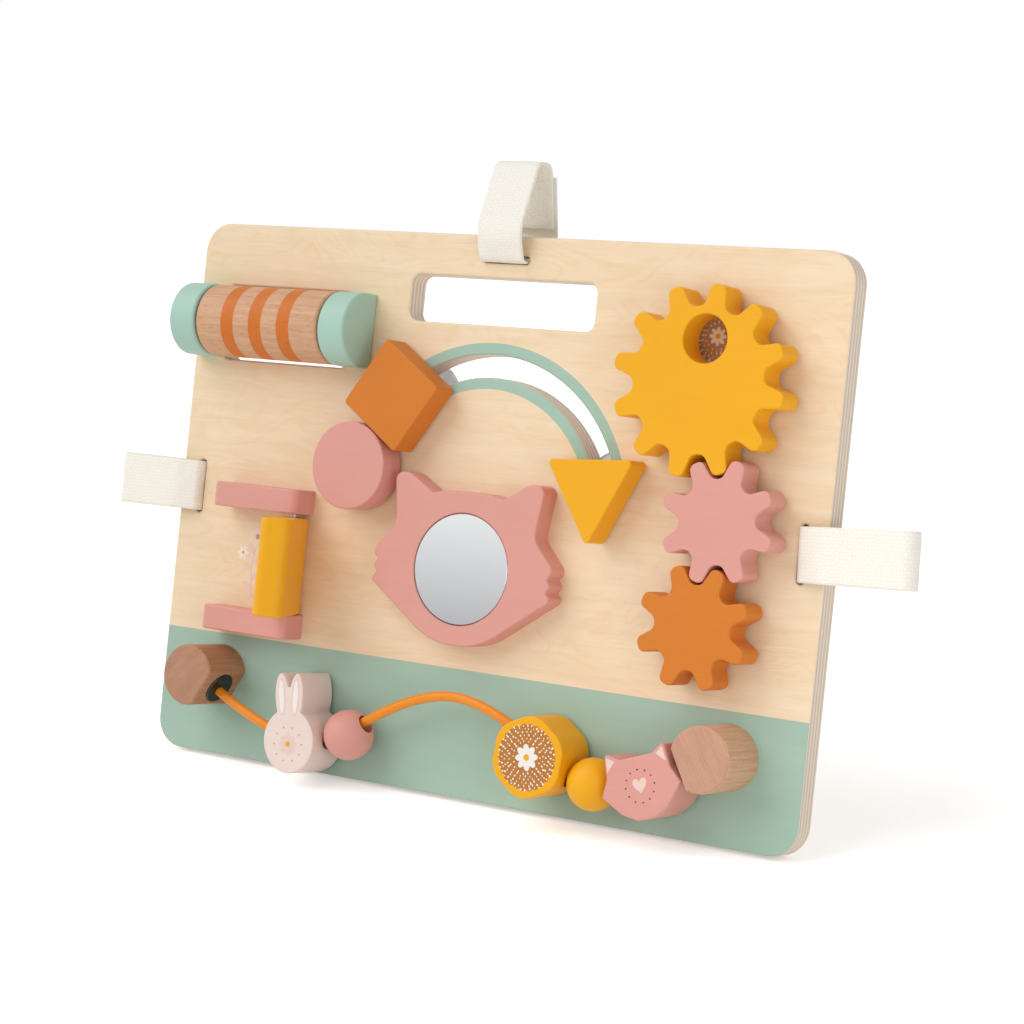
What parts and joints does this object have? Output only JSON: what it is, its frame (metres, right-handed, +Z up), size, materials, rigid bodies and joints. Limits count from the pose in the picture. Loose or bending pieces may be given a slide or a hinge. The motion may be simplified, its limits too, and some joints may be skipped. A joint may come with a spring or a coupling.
{
  "type": "activity busy board",
  "caption": "Wooden baby busy board with carry slot, roller, arch sliders, meshing gears, mirror, flap door, bead cord and strap loops.",
  "frame": {"origin": "centre of the board's bottom edge, midway through its thickness", "axes": "+X to the viewer's right along the board's length, +Y from the play side to the back, +Z up"},
  "size_m": [0.4594, 0.0771, 0.3123],
  "materials": {
    "plywood": "satin, clear lacquer, printed colour on the play face only",
    "pink_paint": "satin paint on wood",
    "yellow_paint": "satin paint on wood",
    "orange_paint": "satin paint on wood",
    "mint_wood": "satin paint on wood",
    "white_wood": "satin paint on wood",
    "roller_beech": "satin beech with painted orange stripes",
    "log_beech": "satin beech",
    "log_maple": "satin pale hardwood",
    "mirror": "polished acrylic mirror",
    "cord": "braided cord",
    "webbing": "woven webbing",
    "hook_patch": "hook-and-loop, hooks",
    "loop_patch": "hook-and-loop, loops",
    "black_plastic": "matt",
    "grey_plastic": "matt",
    "steel": "brushed",
    "zinc_screw": "zinc plated",
    "brass": "machined"
  },
  "bodies": {
    "board_assembly": {"board": "plywood", "back_screws": "zinc_screw", "cat_frame": "pink_paint", "mirror_disc": "mirror", "roller_block_left": "mint_wood", "roller_block_right": "mint_wood", "roller_pin": "steel", "flap_bar_top": "pink_paint", "flap_bar_bottom": "pink_paint", "flap_pin": "steel", "log_left": "log_beech", "log_right": "log_maple", "ferrule_left": "black_plastic", "ferrule_right": "black_plastic", "bead_cord": "cord", "strap_top": "webbing", "strap_left": "webbing", "strap_right": "webbing", "closure_hook_patches": "hook_patch", "closure_loop_patches": "loop_patch", "gear_washers": "grey_plastic"},
    "roller": {"roller": "roller_beech"},
    "large_gear": {"gear_large": "yellow_paint", "gear_large_insert": "brass", "gear_large_bolt": "steel"},
    "middle_gear": {"gear_middle": "pink_paint", "gear_middle_insert": "brass", "gear_middle_bolt": "steel"},
    "lower_gear": {"gear_lower": "orange_paint", "gear_lower_insert": "brass", "gear_lower_bolt": "steel"},
    "flap": {"flap_door": "yellow_paint"},
    "disc_slider": {"disc_shape": "pink_paint", "disc_sleeve": "grey_plastic", "disc_back_disc": "grey_plastic", "disc_screw": "zinc_screw"},
    "square_slider": {"square_shape": "orange_paint", "square_sleeve": "grey_plastic", "square_back_disc": "grey_plastic", "square_screw": "zinc_screw"},
    "triangle_slider": {"triangle_shape": "yellow_paint", "triangle_sleeve": "grey_plastic", "triangle_back_disc": "grey_plastic", "triangle_screw": "zinc_screw"},
    "rabbit_bead_body": {"rabbit_bead": "white_wood"},
    "pink_ball_body": {"pink_ball": "pink_paint"},
    "flower_bead_body": {"flower_bead": "yellow_paint"},
    "yellow_ball_body": {"yellow_ball": "yellow_paint"},
    "cat_bead_body": {"cat_bead": "pink_paint"}
  },
  "joints": [
    {"name": "roller_spin", "type": "hinge", "parent": "board_assembly", "child": "roller", "pos_m": [-0.12935, -0.015, 0.2238], "axis": [1, 0, 0], "continuous": true},
    {"name": "large_gear_spin", "type": "hinge", "parent": "board_assembly", "child": "large_gear", "pos_m": [0.1223, -0.017, 0.2112], "axis": [0, -1, 0], "continuous": true},
    {"name": "middle_gear_spin", "type": "hinge", "parent": "board_assembly", "child": "middle_gear", "pos_m": [0.1396, -0.017, 0.148], "axis": [0, -1, 0], "continuous": true},
    {"name": "lower_gear_spin", "type": "hinge", "parent": "board_assembly", "child": "lower_gear", "pos_m": [0.1325, -0.017, 0.0991], "axis": [0, -1, 0], "continuous": true},
    {"name": "flap_swing", "type": "hinge", "parent": "board_assembly", "child": "flap", "pos_m": [-0.1062, -0.0145, 0.1031], "axis": [0, 0, 1], "range_deg": [-116, 64]},
    {"name": "disc_spin", "type": "hinge", "parent": "board_assembly", "child": "disc_slider", "pos_m": [-0.07001, -0.0155, 0.15611], "axis": [0, -1, 0], "continuous": true},
    {"name": "square_travel", "type": "hinge", "parent": "board_assembly", "child": "square_slider", "pos_m": [0, -0.0155, 0.1393], "axis": [0, -1, 0], "range_deg": [-40, 0]},
    {"name": "triangle_travel", "type": "hinge", "parent": "board_assembly", "child": "triangle_slider", "pos_m": [0, -0.0155, 0.1393], "axis": [0, -1, 0], "range_deg": [0, 38]},
    {"name": "rabbit_rock", "type": "hinge", "parent": "board_assembly", "child": "rabbit_bead_body", "pos_m": [-0.08188, -0.0205, 0.0185], "axis": [0.9988, 0, 0.0489], "range_deg": [-2, 4]},
    {"name": "pink_ball_slide", "type": "slide", "parent": "board_assembly", "child": "pink_ball_body", "axis": [0.8572, 0, 0.515], "range_m": [0, 0.03]},
    {"name": "flower_bead_slide", "type": "slide", "parent": "board_assembly", "child": "flower_bead_body", "axis": [0.8746, 0, -0.4848], "range_m": [-0.02, 0]},
    {"name": "yellow_ball_spin", "type": "hinge", "parent": "board_assembly", "child": "yellow_ball_body", "pos_m": [0.0874, -0.0205, 0.0205], "axis": [0.9998, 0, -0.0175], "continuous": true},
    {"name": "cat_bead_rock", "type": "hinge", "parent": "board_assembly", "child": "cat_bead_body", "pos_m": [0.1185, -0.0205, 0.02734], "axis": [0.9588, 0, 0.284], "range_deg": [-4, 4]}
  ],
  "couplings": [
    {"joint": "middle_gear_spin", "follows": "large_gear_spin", "ratio": -1.5},
    {"joint": "lower_gear_spin", "follows": "large_gear_spin", "ratio": 1.5}
  ]
}
